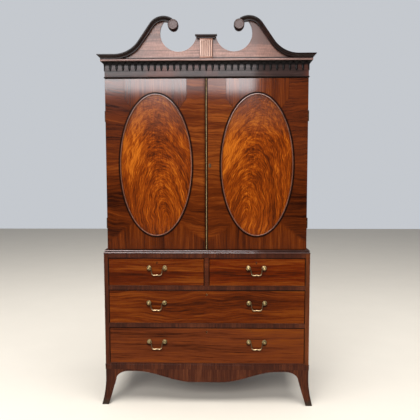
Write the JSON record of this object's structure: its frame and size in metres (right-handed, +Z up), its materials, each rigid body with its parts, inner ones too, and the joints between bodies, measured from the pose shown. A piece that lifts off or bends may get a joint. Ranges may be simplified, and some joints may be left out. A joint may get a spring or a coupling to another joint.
{
  "type": "linen press",
  "caption": "Mahogany linen press: oval-panelled cupboard doors over a chest of drawers on splayed feet, under a swan-neck pediment.",
  "frame": {"origin": "centre of the footprint's bounding box, on the floor", "axes": "+Z up, doors and drawers face -Y, X along the width"},
  "size_m": [1.304, 0.604, 2.3549],
  "materials": {
    "carcase_veneer": "polished mahogany veneer, cross-grained on the fronts",
    "rail_veneer": "cross-banded mahogany",
    "drawer_veneer": "polished figured mahogany veneer",
    "door_veneer": "polished mahogany veneer in mitred panels",
    "flame_veneer": "flame-figured mahogany under a high polish",
    "dark_moulding": "dark stained mahogany moulding",
    "faded_mahogany": "sun-faded mahogany, worn polish",
    "frieze_veneer": "faded mahogany veneer, semi-gloss",
    "lining": "plain lining timber, unpolished",
    "backing": "unfinished back boards",
    "aged_brass": "aged cast brass"
  },
  "bodies": {
    "carcase": {"lower_side_left": "carcase_veneer", "lower_side_right": "carcase_veneer", "lower_top": "rail_veneer", "drawer_rail_upper": "rail_veneer", "drawer_rail_lower": "rail_veneer", "lower_bottom": "rail_veneer", "lower_back": "backing", "short_drawer_divider": "rail_veneer", "waist_moulding": "dark_moulding", "base_band": "rail_veneer", "front_apron": "carcase_veneer", "front_foot_left": "carcase_veneer", "front_foot_right": "carcase_veneer", "back_foot_left": "carcase_veneer", "back_foot_right": "carcase_veneer", "upper_bottom": "carcase_veneer", "upper_top": "carcase_veneer", "upper_side_left": "carcase_veneer", "upper_side_right": "carcase_veneer", "upper_back": "backing", "linen_tray_1": "lining", "linen_tray_2": "lining", "linen_tray_3": "lining", "linen_tray_4": "lining", "hinge_low_left": "aged_brass", "hinge_low_right": "aged_brass", "hinge_high_left": "aged_brass", "hinge_high_right": "aged_brass", "cornice_frame": "frieze_veneer", "cornice_moulding": "dark_moulding", "pear_drop_arcade": "dark_moulding", "pediment_board": "faded_mahogany", "swan_neck_left": "dark_moulding", "swan_neck_right": "dark_moulding", "scroll_roundel_left": "faded_mahogany", "scroll_roundel_right": "faded_mahogany", "pediment_plinth": "faded_mahogany", "plinth_cap": "dark_moulding"},
    "left_door": {"door_frame_left": "door_veneer", "oval_panel_left": "flame_veneer", "oval_moulding_left": "dark_moulding"},
    "right_door": {"door_frame_right": "door_veneer", "oval_panel_right": "flame_veneer", "oval_moulding_right": "dark_moulding", "meeting_bead": "aged_brass", "door_lock": "aged_brass"},
    "lower_drawer": {"drawer_front_lower": "drawer_veneer", "drawer_box_lower": "lining"},
    "middle_drawer": {"drawer_front_middle": "drawer_veneer", "drawer_box_middle": "lining"},
    "short_drawer_left": {"drawer_front_short_left": "drawer_veneer", "drawer_box_short_left": "lining"},
    "short_drawer_right": {"drawer_front_short_right": "drawer_veneer", "drawer_box_short_right": "lining"},
    "bail_short_left_body": {"bail_short_left": "aged_brass"},
    "bail_short_right_body": {"bail_short_right": "aged_brass"},
    "bail_middle_left_body": {"bail_middle_left": "aged_brass"},
    "bail_middle_right_body": {"bail_middle_right": "aged_brass"},
    "bail_lower_left_body": {"bail_lower_left": "aged_brass"},
    "bail_lower_right_body": {"bail_lower_right": "aged_brass"}
  },
  "joints": [
    {"name": "left_door_hinge", "type": "hinge", "parent": "carcase", "child": "left_door", "pos_m": [-0.6145, -0.2355, 1.455], "axis": [0, 0, -1], "range_deg": [0, 110]},
    {"name": "right_door_hinge", "type": "hinge", "parent": "carcase", "child": "right_door", "pos_m": [0.6145, -0.2355, 1.455], "axis": [0, 0, 1], "range_deg": [0, 110]},
    {"name": "short_drawer_left_slide", "type": "slide", "parent": "carcase", "child": "short_drawer_left", "axis": [0, -1, 0], "range_m": [0, 0.42]},
    {"name": "short_drawer_right_slide", "type": "slide", "parent": "carcase", "child": "short_drawer_right", "axis": [0, -1, 0], "range_m": [0, 0.42]},
    {"name": "middle_drawer_slide", "type": "slide", "parent": "carcase", "child": "middle_drawer", "axis": [0, -1, 0], "range_m": [0, 0.42]},
    {"name": "lower_drawer_slide", "type": "slide", "parent": "carcase", "child": "lower_drawer", "axis": [0, -1, 0], "range_m": [0, 0.42]},
    {"name": "bail_short_left_swing", "type": "hinge", "parent": "short_drawer_left", "child": "bail_short_left_body", "pos_m": [-0.304, -0.295, 0.858], "axis": [-1, 0, 0], "range_deg": [-15, 95]},
    {"name": "bail_short_right_swing", "type": "hinge", "parent": "short_drawer_right", "child": "bail_short_right_body", "pos_m": [0.304, -0.295, 0.858], "axis": [-1, 0, 0], "range_deg": [-15, 95]},
    {"name": "bail_middle_left_swing", "type": "hinge", "parent": "middle_drawer", "child": "bail_middle_left_body", "pos_m": [-0.308, -0.295, 0.64], "axis": [-1, 0, 0], "range_deg": [-15, 95]},
    {"name": "bail_middle_right_swing", "type": "hinge", "parent": "middle_drawer", "child": "bail_middle_right_body", "pos_m": [0.308, -0.295, 0.64], "axis": [-1, 0, 0], "range_deg": [-15, 95]},
    {"name": "bail_lower_left_swing", "type": "hinge", "parent": "lower_drawer", "child": "bail_lower_left_body", "pos_m": [-0.308, -0.295, 0.395], "axis": [-1, 0, 0], "range_deg": [-15, 95]},
    {"name": "bail_lower_right_swing", "type": "hinge", "parent": "lower_drawer", "child": "bail_lower_right_body", "pos_m": [0.308, -0.295, 0.395], "axis": [-1, 0, 0], "range_deg": [-15, 95]}
  ]
}
